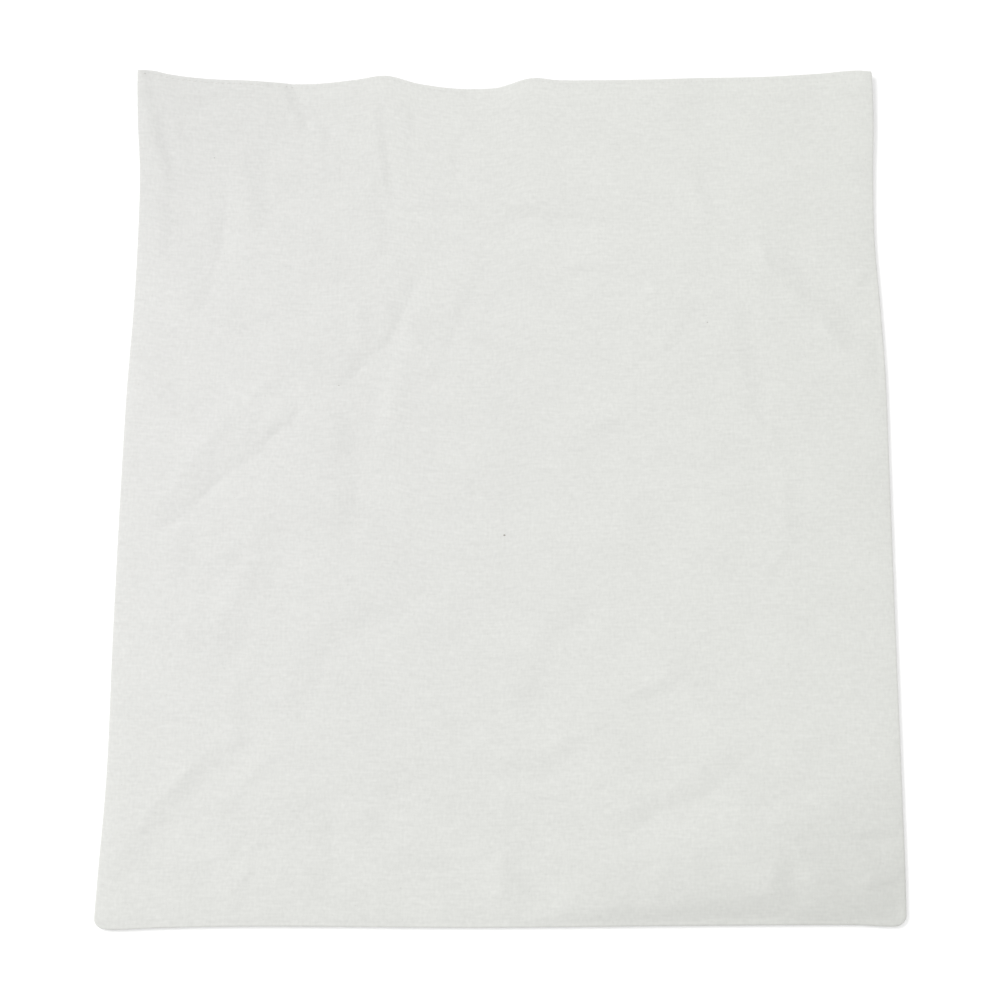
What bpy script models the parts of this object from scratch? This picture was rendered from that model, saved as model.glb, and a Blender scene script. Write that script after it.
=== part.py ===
"""A plain cotton storage bag, lying flat with its open mouth towards +Y.

Two panels of cloth, a front one above a back one, are seamed along both sides and the bottom, with the
seam allowances turned to the inside. The mouth is hemmed and stands a little open. The back panel lies
flat on the table, and the front one rests on the seam allowances and lifts over the air inside, with the
creases of a bag that was stored folded. Metres, +Z up, with the origin under the middle of the bag.
"""

from collections import namedtuple

import bmesh
import bpy
import numpy as np

# Cloth
CLOTH = 0.0010  # thickness of one layer
TURNING = 0.0006  # what the pressed-down layer of an allowance or a hem adds
LAYER_GAP = 0.0003  # between the two panels where they meet
ALLOWANCE = 0.0090  # width of the seam allowances inside the sides and the bottom
HEM = 0.0150  # depth of the mouth's hem
STEP = 0.0010  # width over which a turned layer ends

# Rounding of the outline and of the seamed edges
CORNER_RADIUS = 0.0050
EDGE_DROP = 0.0006  # how far the front cloth rounds down at its outer edge
EDGE_ROUND = 0.0030  # width of that rounding

# The front cloth's height above the table, measured to its upper face
BACK_SEAM_TOP = CLOTH + TURNING
EDGE_ROLL = 0.0012  # how far the cloth rolls down towards its seamed edges
MOUTH_ROLL = 0.0006  # and towards the mouth's edge
ROLL_WIDTH = 0.0050
SEAM_TOP = 2 * BACK_SEAM_TOP + LAYER_GAP + EDGE_ROLL  # before the edge rolls down
MIDDLE_TOP = 0.0089
RAMP = 0.140  # distance from a seam over which the front cloth rises to its middle height
MOUTH_REACH = 0.110  # how far down the bag the waves of the mouth can be felt

# Spacing of the mesh lines: close together at the edges, even between them
EDGE_LINES = (0.0, 0.0014, 0.0050, 0.0088, 0.0102, 0.0145, 0.0210)
ACROSS_STEPS = 38
MOUTH_LINES = (0.0, 0.0014, 0.0050, 0.0148, 0.0160, 0.0230)
ALONG_STEPS = 42

# How far each long edge is from the bag's middle: the sides bow inwards below the mouth.
SideRow = namedtuple("SideRow", "y left right")
SIDES = (
    SideRow(y=-0.2510, left=-0.2216, right=0.2196),
    SideRow(y=-0.2180, left=-0.2202, right=0.2202),
    SideRow(y=-0.1800, left=-0.2184, right=0.2204),
    SideRow(y=-0.0900, left=-0.2180, right=0.2208),
    SideRow(y=0.0000, left=-0.2172, right=0.2214),
    SideRow(y=0.0550, left=-0.2162, right=0.2218),
    SideRow(y=0.1030, left=-0.2143, right=0.2205),
    SideRow(y=0.1460, left=-0.2137, right=0.2189),
    SideRow(y=0.1880, left=-0.2142, right=0.2198),
    SideRow(y=0.2190, left=-0.2166, right=0.2213),
    SideRow(y=0.2510, left=-0.2180, right=0.2214),
)

# The seamed bottom edge, with the corners pulled a little outwards by the turned allowances.
BottomRow = namedtuple("BottomRow", "x y")
BOTTOM = (
    BottomRow(x=-0.222, y=-0.2512),
    BottomRow(x=-0.212, y=-0.2522),
    BottomRow(x=-0.188, y=-0.2513),
    BottomRow(x=0.000, y=-0.2510),
    BottomRow(x=0.110, y=-0.2500),
    BottomRow(x=0.190, y=-0.2496),
    BottomRow(x=0.212, y=-0.2505),
    BottomRow(x=0.220, y=-0.2497),
)

# The mouth's edge from left to right: its place along the bag, and how high the front cloth's upper face
# stands there. It has two waves, and the corners reach further than the middle.
MouthRow = namedtuple("MouthRow", "x y top")
MOUTH = (
    MouthRow(x=-0.218, y=0.2509, top=0.0047),
    MouthRow(x=-0.210, y=0.2508, top=0.0049),
    MouthRow(x=-0.201, y=0.2485, top=0.0049),
    MouthRow(x=-0.180, y=0.2451, top=0.0055),
    MouthRow(x=-0.150, y=0.2430, top=0.0068),
    MouthRow(x=-0.115, y=0.2402, top=0.0080),
    MouthRow(x=-0.087, y=0.2425, top=0.0091),
    MouthRow(x=-0.070, y=0.2448, top=0.0098),
    MouthRow(x=-0.050, y=0.2400, top=0.0092),
    MouthRow(x=-0.019, y=0.2366, top=0.0088),
    MouthRow(x=-0.004, y=0.2372, top=0.0089),
    MouthRow(x=0.020, y=0.2434, top=0.0097),
    MouthRow(x=0.035, y=0.2420, top=0.0094),
    MouthRow(x=0.082, y=0.2427, top=0.0088),
    MouthRow(x=0.118, y=0.2442, top=0.0078),
    MouthRow(x=0.154, y=0.2455, top=0.0066),
    MouthRow(x=0.190, y=0.2482, top=0.0053),
    MouthRow(x=0.214, y=0.2505, top=0.0048),
    MouthRow(x=0.221, y=0.2500, top=0.0047),
)

# The broad swells and hollows of the front cloth over the air inside: round ones, each with its centre.
Swell = namedtuple("Swell", "name x y rise radius")
SWELLS = (
    Swell("lower right hollow", 0.130, -0.150, -0.0008, 0.080),
    Swell("left middle swell", -0.065, -0.030, 0.0005, 0.070),
    Swell("right upper swell", 0.100, 0.120, 0.0006, 0.060),
    Swell("upper left hollow", -0.165, 0.190, -0.0005, 0.045),
)

# The main creases of the front cloth, in millimetres. Along its line the cloth steps down: it is higher on
# the line's left hand, as seen when walking from its first point (x, y) to its last. The drop is from the
# crest on one side to the hollow on the other, and each of them lies one width from the line.
MM = 0.001
Crease = namedtuple("Crease", "name drop width points")
CREASES = (
    Crease("corner crease", 0.9, 3.8, ((-195, 160), (-197, 190), (-201, 210), (-209, 243))),
    Crease("corner hollow", 0.5, 8, ((-187, 150), (-191, 200), (-196, 246))),
    Crease("upper left band", 0.75, 6, ((-181, 88), (-175, 119), (-168, 148), (-165, 184))),
    Crease("upper left second band", 0.6, 5.5, ((-142, 140), (-145, 174), (-147, 212))),
    Crease("left wave, lower end", 0.45, 4.5, ((-68, 126), (-72, 149), (-79, 174))),
    Crease("upper diagonal", 0.6, 5, ((-99, 42), (-84, 69), (-69, 82), (-58, 104), (-49, 134))),
    Crease("branch of the upper diagonal", 0.6, 4, ((-75, 76), (-79, 91), (-80, 105))),
    Crease("broad leg", 0.8, 7, ((-91, -44), (-88, 2), (-95, 47))),
    Crease("left diagonal, high side", 0.5, 5, ((-184, -8), (-163, 19), (-140, 43), (-120, 64))),
    Crease("left diagonal, low side", 1.2, 7, ((-203, -38), (-182, -13), (-158, 7), (-122, 37))),
    Crease("left of the middle", 0.3, 3.5, ((-52, 39), (-39, 61), (-26, 95), (-13, 127), (-13, 151))),
    Crease("right diagonal", 1.8, 8, ((206, 66), (194, 95), (170, 119), (149, 153))),
    Crease("right upright", 0.8, 5.5, ((152, 35), (143, 57), (140, 80), (138, 107))),
    Crease("small right", 0.45, 4.5, ((93, 68), (108, 94))),
    Crease("left middle", 0.85, 8.5, ((-156, -113), (-148, -87), (-138, -61), (-127, -17))),
    Crease("left middle, lower end", 0.65, 5, ((-146, -164), (-143, -108))),
    Crease("lower left diagonal", 1, 5, ((-216, -230), (-192, -198), (-171, -171), (-141, -146))),
    Crease("low arc", 0.75, 8, ((-117, -152), (-111, -121), (-101, -97), (-72, -77), (-36, -62))),
    Crease("low middle left", 0.5, 6.5, ((-71, -206), (-65, -180), (-49, -162))),
    Crease("low upright", 0.7, 6, ((-101, -238), (-97, -187))),
    Crease("low spot", 1.4, 8, ((9, -250), (7, -207))),
    Crease("middle low", 0.9, 5.5, ((-4, -167), (28, -162), (46, -145))),
    Crease("middle fall", 0.7, 6.5, ((4, -140), (14, -120), (22, -102), (36, -82), (64, -70))),
    Crease("lower right diagonal", 0.75, 6.5, ((46, -212), (66, -197), (84, -183), (108, -175), (139, -149))),
    Crease("middle right", 1, 9, ((80, -64), (78, -2))),
    Crease("above the bottom seam, middle", 1.4, 6, ((24, -247), (100, -245))),
    Crease("above the bottom seam, right", 2.6, 8, ((86, -245), (130, -241), (166, -241))),
    Crease("lower right corner", 1.7, 9, ((154, -244), (190, -243), (220, -231))),
)
LEAST_WIDTH = 7  # the mesh lines are about 10 mm apart and can't hold a narrower crease
LINE_STEPS = 4  # straight pieces that a crease's line has between two of its points
CREASE_END = 0.25  # share of a crease's length over which it dies away at each end
CREASE_CLEAR = 0.0080  # distance from a seam over which a crease comes up to its full height

Finish = namedtuple("Finish", "name colour roughness")
FRONT_COTTON = Finish("unbleached_cotton_front", (0.775, 0.783, 0.755), 0.92)
BACK_COTTON = Finish("unbleached_cotton_back", (0.755, 0.763, 0.735), 0.92)


def smooth_step(t):
    t = np.clip(t, 0.0, 1.0)
    return t * t * (3 - 2 * t)


def curve_through(rows, key, value, at):
    """A smooth curve through a table's rows, read at the given places."""
    keys = np.array([getattr(row, key) for row in rows])
    values = np.array([getattr(row, value) for row in rows])
    slopes = np.gradient(values, keys)
    rises = np.diff(values) / np.diff(keys)
    flat = np.concatenate([[False], rises[:-1] * rises[1:] <= 0, [False]])
    slopes[flat] = 0.0
    at = np.clip(at, keys[0], keys[-1])
    row = np.clip(np.searchsorted(keys, at) - 1, 0, len(keys) - 2)
    span = keys[row + 1] - keys[row]
    t = (at - keys[row]) / span
    from_start = values[row] * (2 * t**3 - 3 * t**2 + 1) + slopes[row] * span * (t**3 - 2 * t**2 + t)
    from_end = values[row + 1] * (3 * t**2 - 2 * t**3) + slopes[row + 1] * span * (t**3 - t**2)
    return from_start + from_end


def round_corner(across, along, inner_x, inner_y, way):
    """Moves the points near one square lower corner onto a round one."""
    a = np.clip((across - inner_x) * way / CORNER_RADIUS, 0, 1)
    b = np.clip((inner_y - along) / CORNER_RADIUS, 0, 1)
    inside = (a > 0) & (b > 0)
    x = np.where(inside, inner_x + way * CORNER_RADIUS * a * np.sqrt(1 - b * b / 2), across)
    y = np.where(inside, inner_y - CORNER_RADIUS * b * np.sqrt(1 - a * a / 2), along)
    return x, y


def line_shares(edge, far_edge, length, steps):
    """Places of the mesh lines as shares of a length: the close ones at both edges, and even ones between."""
    first, last = edge[-1], length - far_edge[-1]
    middle = np.linspace(first, last, steps + 1)[1:-1]
    return np.concatenate([edge, middle, length - np.array(far_edge[::-1])]) / length


def plan_of(shares_across, shares_along):
    """Where each mesh point lies on the table, and its distances from the seams and from the mouth."""
    guess_y = BOTTOM[0].y + shares_along * (MOUTH[0].y - BOTTOM[0].y)
    x = guess_y * 0
    for _ in range(2):
        left = curve_through(SIDES, "y", "left", guess_y)
        right = curve_through(SIDES, "y", "right", guess_y)
        x = left + shares_across * (right - left)
        bottom = curve_through(BOTTOM, "x", "y", x)
        mouth = curve_through(MOUTH, "x", "y", x)
        guess_y = bottom + shares_along * (mouth - bottom)
    y = guess_y
    from_left = x - left
    from_right = right - x
    from_bottom = y - bottom
    from_mouth = mouth - y
    inner_y = bottom + CORNER_RADIUS
    x, y = round_corner(x, y, left + CORNER_RADIUS, inner_y, -1)
    x, y = round_corner(x, y, right - CORNER_RADIUS, inner_y, 1)
    return x, y, from_left, from_right, from_bottom, from_mouth


def smooth_line(points):
    """A smooth line through the points, as the corners of short straight pieces."""
    points = np.array(points, float)
    before, after = 2 * points[0] - points[1], 2 * points[-1] - points[-2]
    padded = np.concatenate([[before], points, [after]])
    shares = np.arange(LINE_STEPS)[:, None] / LINE_STEPS
    pieces = []
    for a, b, c, d in zip(padded[:-3], padded[1:-2], padded[2:-1], padded[3:]):
        turn = (2 * a - 5 * b + 4 * c - d) * shares**2 + (3 * b - a - 3 * c + d) * shares**3
        pieces.append(b + (c - a) * shares / 2 + turn / 2)
    return np.concatenate([*pieces, points[-1:]])


def crease_height(x, y, crease):
    """What one crease adds: half its drop on the line's left hand, and minus half on its right."""
    points = MM * smooth_line(crease.points)
    nearest = np.full(x.shape, np.inf)
    side = np.zeros(x.shape)
    share = np.zeros(x.shape)
    lengths = np.hypot(*np.diff(points, axis=0).T)
    run = np.concatenate([[0.0], np.cumsum(lengths)]) / lengths.sum()
    for start, end, run_start, run_end in zip(points[:-1], points[1:], run[:-1], run[1:]):
        way = end - start
        t = np.clip(((x - start[0]) * way[0] + (y - start[1]) * way[1]) / (way @ way), 0, 1)
        off_x, off_y = x - start[0] - t * way[0], y - start[1] - t * way[1]
        apart = np.hypot(off_x, off_y)
        closer = apart < nearest
        nearest = np.where(closer, apart, nearest)
        side = np.where(closer, np.sign(way[0] * off_y - way[1] * off_x), side)
        share = np.where(closer, run_start + t * (run_end - run_start), share)
    ends = smooth_step(share / CREASE_END) * smooth_step((1 - share) / CREASE_END)
    reach = side * nearest / (MM * max(crease.width, LEAST_WIDTH))
    return MM * crease.drop / 2 * ends * reach * np.exp((1 - reach**2) / 2)


def turned_layer(from_left, from_right, from_bottom, from_mouth):
    """Thickness that the seam allowances and the mouth's hem add to the cloth, on its inner face."""
    from_seam = np.minimum(np.minimum(from_left, from_right), from_bottom)
    allowance = 1 - smooth_step((from_seam - ALLOWANCE) / STEP)
    hem = 1 - smooth_step((from_mouth - HEM) / STEP)
    return TURNING * np.maximum(allowance, hem)


def back_faces(x, y, *distances):
    """Heights of the back panel's faces: flat on the table, and thicker where its allowances and hem lie."""
    return CLOTH + turned_layer(*distances), 0 * x


def front_faces(x, y, from_left, from_right, from_bottom, from_mouth):
    """Heights of the front panel's faces: the upper one is rounded down at the seamed edges."""
    from_side = np.minimum(from_left, from_right)
    from_seam = np.minimum(from_side, from_bottom)
    side_rise = 1 - (1 - np.clip(from_side / RAMP, 0, 1)) ** 2
    bottom_rise = 1 - (1 - np.clip(from_bottom / RAMP, 0, 1)) ** 2
    near_mouth = 1 - smooth_step(from_mouth / MOUTH_REACH)
    middle = MIDDLE_TOP + 0 * x
    for swell in SWELLS:
        middle += swell.rise * np.exp(-((x - swell.x) ** 2 + (y - swell.y) ** 2) / swell.radius**2)
    body = SEAM_TOP + (middle - SEAM_TOP) * side_rise * bottom_rise
    mouth = curve_through(MOUTH, "x", "top", x)
    top = body + (mouth - body) * near_mouth
    relief = sum(crease_height(x, y, crease) for crease in CREASES)
    top += smooth_step(from_seam / CREASE_CLEAR) * relief
    seam_roll = EDGE_ROLL * np.exp(-from_seam / ROLL_WIDTH)
    top -= np.maximum(seam_roll, MOUTH_ROLL * np.exp(-from_mouth / ROLL_WIDTH))
    under = top - CLOTH - turned_layer(from_left, from_right, from_bottom, from_mouth)
    rounding = np.clip(1 - np.minimum(from_seam, from_mouth) / EDGE_ROUND, 0, 1)
    return top - EDGE_DROP * rounding**2, under


def cotton(finish):
    """Plain-woven, unbleached cotton: matt, off-white cloth."""
    material = bpy.data.materials.new(finish.name)
    material.use_nodes = True
    shader = material.node_tree.nodes["Principled BSDF"]
    shader.inputs["Base Color"].default_value = (*finish.colour, 1.0)
    shader.inputs["Roughness"].default_value = finish.roughness
    shader.inputs["Metallic"].default_value = 0.0
    return material


def cloth_panel(name, faces, finish):
    """One panel of cloth: a grid laid in the bag's outline, given its height and then its thickness."""
    across = line_shares(EDGE_LINES, EDGE_LINES, SIDES[4].right - SIDES[4].left, ACROSS_STEPS)
    along = line_shares(EDGE_LINES, MOUTH_LINES, MOUTH[0].y - BOTTOM[0].y, ALONG_STEPS)
    bm = bmesh.new()
    bmesh.ops.create_grid(bm, x_segments=len(across) - 1, y_segments=len(along) - 1, size=0.5)
    bm.verts.ensure_lookup_table()
    place = np.array([vert.co[:2] for vert in bm.verts]) + 0.5
    column = np.rint(place[:, 0] * (len(across) - 1)).astype(int)
    row = np.rint(place[:, 1] * (len(along) - 1)).astype(int)
    x, y, *distances = plan_of(across[column], along[row])
    top, under = faces(x, y, *distances)

    depth = bm.verts.layers.float.new("depth")
    for vert, *spot, vert_depth in zip(bm.verts, x, y, top, top - under):
        vert.co = spot
        vert[depth] = vert_depth
    grown = bmesh.ops.extrude_face_region(bm, geom=list(bm.faces))
    for item in grown["geom"]:
        if isinstance(item, bmesh.types.BMVert):
            item.co.z -= item[depth]
    bmesh.ops.triangulate(bm, faces=list(bm.faces))
    bmesh.ops.recalc_face_normals(bm, faces=list(bm.faces))

    mesh = bpy.data.meshes.new(name)
    bm.to_mesh(mesh)
    bm.free()
    mesh.materials.append(cotton(finish))
    mesh.shade_smooth()
    mesh.set_sharp_from_angle(angle=np.radians(40))
    panel = bpy.data.objects.new(name, mesh)
    bpy.context.scene.collection.objects.link(panel)
    return panel


def main():
    for old in list(bpy.data.objects):
        bpy.data.objects.remove(old, do_unlink=True)
    cloth_panel("back_panel", back_faces, BACK_COTTON)
    cloth_panel("front_panel", front_faces, FRONT_COTTON)


main()
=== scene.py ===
# %% [markdown]
# # A cotton storage bag, lying flat
#
# The object is a plain bag of off-white cotton: two panels, seamed at both sides and along the bottom, with
# a hemmed mouth. Its solids are a frame that is already the right size, so this lesson only dresses them:
# it lays real cloth over each panel, turns in the edges, sews the hem, and lights it softly from above.

from collections import namedtuple
from math import cos, pi, radians, sin

import bmesh
import bpy
import numpy as np
from mathutils import Matrix, Vector, noise


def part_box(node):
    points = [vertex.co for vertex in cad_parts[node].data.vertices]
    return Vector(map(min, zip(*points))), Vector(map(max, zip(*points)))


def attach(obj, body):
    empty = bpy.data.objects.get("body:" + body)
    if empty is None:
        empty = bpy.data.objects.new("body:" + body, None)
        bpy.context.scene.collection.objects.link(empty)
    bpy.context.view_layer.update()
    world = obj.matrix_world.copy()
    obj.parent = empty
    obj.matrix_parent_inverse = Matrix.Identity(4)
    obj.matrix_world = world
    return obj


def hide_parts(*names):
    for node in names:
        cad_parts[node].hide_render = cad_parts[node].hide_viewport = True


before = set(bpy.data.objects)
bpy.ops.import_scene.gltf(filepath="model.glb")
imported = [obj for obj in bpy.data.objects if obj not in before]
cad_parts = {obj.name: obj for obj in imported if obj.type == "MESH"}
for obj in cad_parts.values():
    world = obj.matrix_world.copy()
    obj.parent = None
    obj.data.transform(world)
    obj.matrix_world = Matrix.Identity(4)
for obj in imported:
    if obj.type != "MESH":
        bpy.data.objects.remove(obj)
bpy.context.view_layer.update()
front_low, front_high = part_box("front_panel")
back_low, back_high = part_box("back_panel")
print("front panel", [round(1000 * side, 1) for side in front_high - front_low], "mm")
print("back panel", [round(1000 * side, 1) for side in back_high - back_low], "mm")

# %% [markdown]
# ## The camera
#
# A flat bag looks like a rectangle only from straight above. The photograph shows it a tenth wider at the
# bottom than at the top. A tapered bag would look so too, but here the taper is taken for the view's: the
# camera stood a little towards the bottom edge. The taper then gives the tilt, and the tilt with the bag's
# size gives the distance. That is safer than guessing a lens, because both can be checked against the four
# corners.

# %% Camera
CAMERA_TILT = radians(13.1)
CAMERA_DISTANCE = 1.137
AIM = Vector((-0.001, -0.0125, 0.0))
SENSOR_MM = 36.0
LENS_MM = 71.68


def photo_camera():
    """The camera that looks at the bag from where the photograph was taken."""
    data = bpy.data.cameras.new("photo_camera")
    data.sensor_width = SENSOR_MM
    data.lens = LENS_MM
    camera = bpy.data.objects.new("photo_camera", data)
    bpy.context.scene.collection.objects.link(camera)
    camera.location = AIM + CAMERA_DISTANCE * Vector((0, -sin(CAMERA_TILT), cos(CAMERA_TILT)))
    camera.rotation_euler = (CAMERA_TILT, 0, 0)
    bpy.context.scene.camera = camera
    return camera


camera = photo_camera()
print("the camera is", round(camera.location.z, 3), "m above the table")

# %% [markdown]
# ## The bag's plan
#
# Sewn cloth is never a true rectangle. Each edge is a short table of where it lies, and a smooth curve runs
# through the rows. A straight edge would need two rows; the mouth, which waves up and down, needs many.
# The same rows shape the solids, so cloth and solids agree.

# %% Tables of the outline
SideRow = namedtuple("SideRow", "y left right")
SIDES = (
    SideRow(y=-0.2510, left=-0.2216, right=0.2196),
    SideRow(y=-0.2180, left=-0.2202, right=0.2202),
    SideRow(y=-0.1800, left=-0.2184, right=0.2204),
    SideRow(y=-0.0900, left=-0.2180, right=0.2208),
    SideRow(y=0.0000, left=-0.2172, right=0.2214),
    SideRow(y=0.0550, left=-0.2162, right=0.2218),
    SideRow(y=0.1030, left=-0.2143, right=0.2205),
    SideRow(y=0.1460, left=-0.2137, right=0.2189),
    SideRow(y=0.1880, left=-0.2142, right=0.2198),
    SideRow(y=0.2190, left=-0.2166, right=0.2213),
    SideRow(y=0.2510, left=-0.2180, right=0.2214),
)
BottomRow = namedtuple("BottomRow", "x y")
BOTTOM = (
    BottomRow(x=-0.222, y=-0.2512),
    BottomRow(x=-0.212, y=-0.2522),
    BottomRow(x=-0.188, y=-0.2513),
    BottomRow(x=0.000, y=-0.2510),
    BottomRow(x=0.110, y=-0.2500),
    BottomRow(x=0.190, y=-0.2496),
    BottomRow(x=0.212, y=-0.2505),
    BottomRow(x=0.220, y=-0.2497),
)
MouthRow = namedtuple("MouthRow", "x y top")
MOUTH = (
    MouthRow(x=-0.218, y=0.2509, top=0.0047),
    MouthRow(x=-0.210, y=0.2508, top=0.0049),
    MouthRow(x=-0.201, y=0.2485, top=0.0049),
    MouthRow(x=-0.180, y=0.2451, top=0.0055),
    MouthRow(x=-0.150, y=0.2430, top=0.0068),
    MouthRow(x=-0.115, y=0.2402, top=0.0080),
    MouthRow(x=-0.087, y=0.2425, top=0.0091),
    MouthRow(x=-0.070, y=0.2448, top=0.0098),
    MouthRow(x=-0.050, y=0.2400, top=0.0092),
    MouthRow(x=-0.019, y=0.2366, top=0.0088),
    MouthRow(x=-0.004, y=0.2372, top=0.0089),
    MouthRow(x=0.020, y=0.2434, top=0.0097),
    MouthRow(x=0.035, y=0.2420, top=0.0094),
    MouthRow(x=0.082, y=0.2427, top=0.0088),
    MouthRow(x=0.118, y=0.2442, top=0.0078),
    MouthRow(x=0.154, y=0.2455, top=0.0066),
    MouthRow(x=0.190, y=0.2482, top=0.0053),
    MouthRow(x=0.214, y=0.2505, top=0.0048),
    MouthRow(x=0.221, y=0.2500, top=0.0047),
)
CORNER_RADIUS = 0.0050


def curve_through(rows, key, value, at):
    """A smooth curve through a table's rows, read at the given places."""
    keys = np.array([getattr(row, key) for row in rows])
    values = np.array([getattr(row, value) for row in rows])
    slopes = np.gradient(values, keys)
    rises = np.diff(values) / np.diff(keys)
    turns = np.concatenate([[False], rises[:-1] * rises[1:] <= 0, [False]])
    slopes[turns] = 0.0
    at = np.clip(at, keys[0], keys[-1])
    row = np.clip(np.searchsorted(keys, at) - 1, 0, len(keys) - 2)
    span = keys[row + 1] - keys[row]
    t = (at - keys[row]) / span
    from_start = values[row] * (2 * t**3 - 3 * t**2 + 1) + slopes[row] * span * (t**3 - 2 * t**2 + t)
    from_end = values[row + 1] * (3 * t**2 - 2 * t**3) + slopes[row + 1] * span * (t**3 - t**2)
    return from_start + from_end


print("mouth edge at the middle:", round(1000 * float(curve_through(MOUTH, "x", "y", 0.0)), 1), "mm")

# %% [markdown]
# ## From the cut piece to its place on the table
#
# A maker cuts each panel larger than the bag and turns the surplus in: 9 mm of allowance at the seams and
# 15 mm of hem at the mouth. So each point of the cloth is known by where it lies on the cut piece, and one
# function says where that point ends up: on the outer layer, round the fold, or turned in under it. Where
# two turned strips meet at a corner they are mitred, as a maker clips them, so nothing lies double.

# %% Cloth measures
CLOTH = 0.00050  # plain cotton sheeting, thicker than bare threads because the weave is soft
LAYER_PITCH = 0.00065  # from the middle of the outer layer to the middle of the turned one
FOLD_RADIUS = LAYER_PITCH / 2
FOLD_LENGTH = pi * FOLD_RADIUS
ALLOWANCE = 0.0090
HEM = 0.0150
MITRE_REACH = 0.040  # how far along an edge its corner's mitre is felt
PLAN_ROUNDS = 3
MIDDLE_SIDES = SIDES[4]
BAG_WIDTH = MIDDLE_SIDES.right - MIDDLE_SIDES.left
BAG_LENGTH = MOUTH[0].y - BOTTOM[0].y
OUTER_WIDTH = BAG_WIDTH - 2 * FOLD_RADIUS
OUTER_LENGTH = BAG_LENGTH - 2 * FOLD_RADIUS


def smooth_step(t):
    """Goes from 0 to 1 as t does, and is level at both ends."""
    t = np.clip(t, 0.0, 1.0)
    return t * t * (3 - 2 * t)


def turned(beyond):
    """How far in from the edge, and how far down, a point ends up that is cut beyond the fold."""
    angle = np.clip(beyond / FOLD_RADIUS, 0, pi)
    inward = FOLD_RADIUS * (1 - np.sin(angle)) + np.maximum(beyond - FOLD_LENGTH, 0)
    return inward, FOLD_RADIUS * (1 - np.cos(angle))


def place_on_table(across, along):
    """Plan position of cut points, their depth under the outer layer, and their distances from the edges."""
    past_left = np.maximum(-across, 0)
    past_right = np.maximum(across - OUTER_WIDTH, 0)
    past_bottom = np.maximum(-along, 0)
    past_mouth = np.maximum(along - OUTER_LENGTH, 0)
    past_side = np.maximum(past_left, past_right)
    past_end = np.maximum(past_bottom, past_mouth)

    side_in, side_depth = turned(past_side)
    end_in, end_depth = turned(past_end)
    in_left = np.where(past_left > 0, side_in, FOLD_RADIUS + np.maximum(across, 0))
    in_left = np.where(past_right > 0, BAG_WIDTH - side_in, in_left)
    in_bottom = np.where(past_bottom > 0, end_in, FOLD_RADIUS + np.maximum(along, 0))
    in_bottom = np.where(past_mouth > 0, BAG_LENGTH - end_in, in_bottom)

    side_shift = np.where(past_side > 0, side_in - FOLD_RADIUS, 0)
    end_shift = np.where(past_end > 0, np.minimum(end_in - FOLD_RADIUS, ALLOWANCE + FOLD_RADIUS), 0)
    near_bottom = 1 - smooth_step((in_bottom - FOLD_RADIUS) / MITRE_REACH)
    near_mouth = 1 - smooth_step((BAG_LENGTH - in_bottom - FOLD_RADIUS) / MITRE_REACH)
    near_left = 1 - smooth_step((in_left - FOLD_RADIUS) / MITRE_REACH)
    near_right = 1 - smooth_step((BAG_WIDTH - in_left - FOLD_RADIUS) / MITRE_REACH)
    in_bottom = in_bottom + side_shift * (near_bottom - near_mouth)
    in_left = in_left + end_shift * (near_left - near_right)

    depth = np.maximum(side_depth, end_depth)
    return (*plan_of(in_left / BAG_WIDTH, in_bottom / BAG_LENGTH), depth)


def round_corner(x, y, inner_x, inner_y, way):
    """Moves the points near one square lower corner onto a round one."""
    a = np.clip((x - inner_x) * way / CORNER_RADIUS, 0, 1)
    b = np.clip((inner_y - y) / CORNER_RADIUS, 0, 1)
    inside = (a > 0) & (b > 0)
    round_x = inner_x + way * CORNER_RADIUS * a * np.sqrt(1 - b * b / 2)
    round_y = inner_y - CORNER_RADIUS * b * np.sqrt(1 - a * a / 2)
    return np.where(inside, round_x, x), np.where(inside, round_y, y)


def plan_of(share_across, share_along):
    """Where a point lies on the table, and its distances from left, right, bottom and mouth.

    Each edge lies where the other coordinate says, so both are found together in a few rounds.
    """
    y = BOTTOM[0].y + share_along * BAG_LENGTH
    for _ in range(PLAN_ROUNDS):
        left = curve_through(SIDES, "y", "left", y)
        right = curve_through(SIDES, "y", "right", y)
        x = left + share_across * (right - left)
        bottom = curve_through(BOTTOM, "x", "y", x)
        mouth = curve_through(MOUTH, "x", "y", x)
        y = bottom + share_along * (mouth - bottom)
    edges = (x - left, right - x, y - bottom, mouth - y)
    inner_y = bottom + CORNER_RADIUS
    x, y = round_corner(x, y, left + CORNER_RADIUS, inner_y, -1)
    x, y = round_corner(x, y, right - CORNER_RADIUS, inner_y, 1)
    return x, y, edges


print("each panel is cut", round(1000 * (BAG_WIDTH + 2 * ALLOWANCE)), "x",
      round(1000 * (BAG_LENGTH + ALLOWANCE + HEM)), "mm")

# %% [markdown]
# ## How high the front cloth lies
#
# The front panel rests on the seams and floats over a little air. Its broad height is a sum of simple
# shapes: a slow rise from each seam, a few swells, and the mouth, which stands open. At the seams the cloth
# rolls down over its turned edge, which makes the left side light and the right side dark, and at the mouth
# it rolls a little too. The doubled hem stands up a little, and a groove runs above the bottom seam.

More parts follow.
